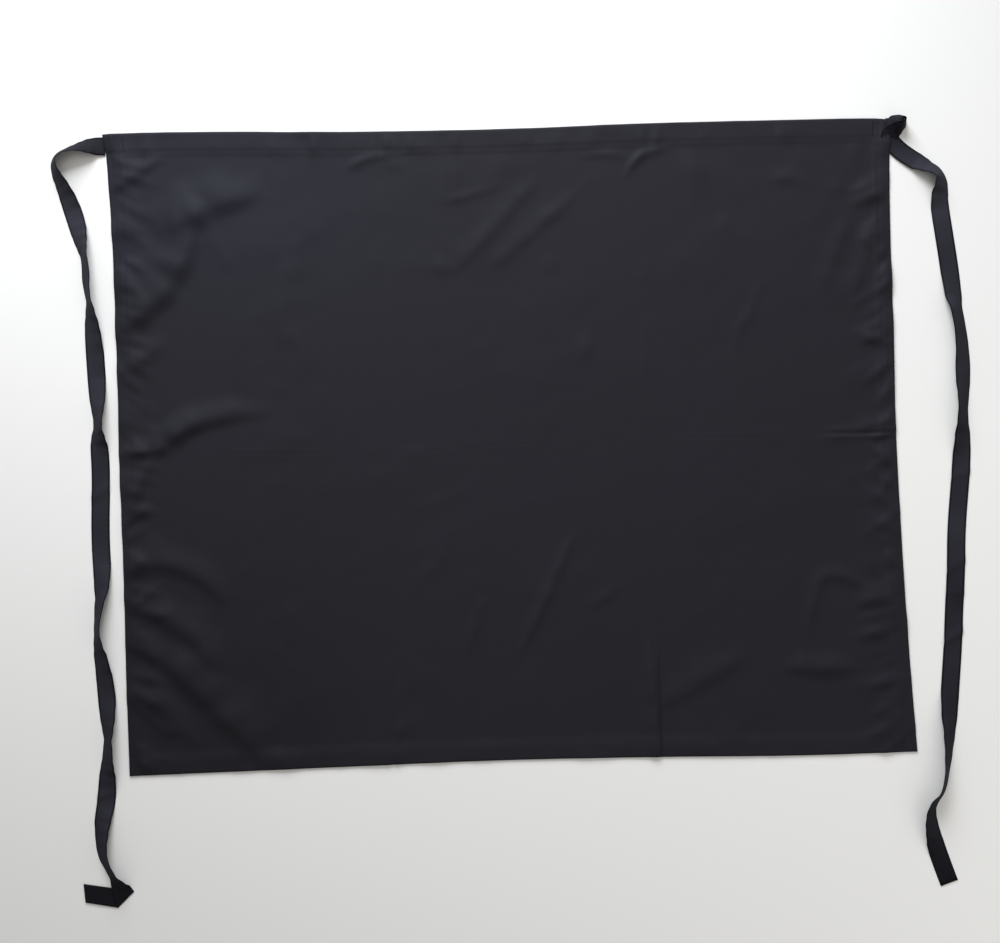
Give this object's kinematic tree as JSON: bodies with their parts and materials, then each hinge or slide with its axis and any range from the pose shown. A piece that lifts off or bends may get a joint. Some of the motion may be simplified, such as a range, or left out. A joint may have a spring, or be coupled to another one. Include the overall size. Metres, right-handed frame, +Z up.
{
  "type": "waist apron",
  "caption": "Plain hemmed cloth waist apron laid flat, folding at its middle crease, with a long tape tie at each end of the waistband.",
  "frame": {"origin": "on the table under the middle of the cloth, ties not counted", "axes": "+X along the waistband to the right, the longest side; +Y from the bottom hem to the waistband; +Z up through the thickness, the shortest side"},
  "size_m": [1.0064, 0.8475, 0.02],
  "materials": {
    "cloth": "smooth dark charcoal twill, faint sheen",
    "tape": "dark charcoal herringbone tape",
    "thread": "dark sewing thread"
  },
  "bodies": {
    "upper": {"upper_panel": "cloth", "waistband_fold": "cloth", "left_hem_upper": "cloth", "right_hem_upper": "cloth", "waistband_stitching": "thread", "left_stitching_upper": "thread", "right_stitching_upper": "thread", "left_tie_root": "tape", "right_tie_root": "tape", "left_tie_tack": "thread", "right_tie_tack": "thread"},
    "lower": {"lower_panel": "cloth", "bottom_hem": "cloth", "left_hem_lower": "cloth", "right_hem_lower": "cloth", "bottom_hem_stitching": "thread", "left_stitching_lower": "thread", "right_stitching_lower": "thread"},
    "left_tie": {"left_tie": "tape"},
    "right_tie": {"right_tie": "tape"}
  },
  "joints": [
    {"name": "middle_fold", "type": "hinge", "parent": "upper", "child": "lower", "pos_m": [0, 0, 0.008], "axis": [-1, 0, 0], "range_deg": [0, 180]},
    {"name": "left_tie_swing", "type": "hinge", "parent": "upper", "child": "left_tie", "pos_m": [-0.4455, 0.338, 0.0005], "axis": [0, 0, -1], "range_deg": [0, 100]},
    {"name": "right_tie_swing", "type": "hinge", "parent": "upper", "child": "right_tie", "pos_m": [0.4455, 0.338, 0.0005], "axis": [0, 0, 1], "range_deg": [0, 100]}
  ]
}
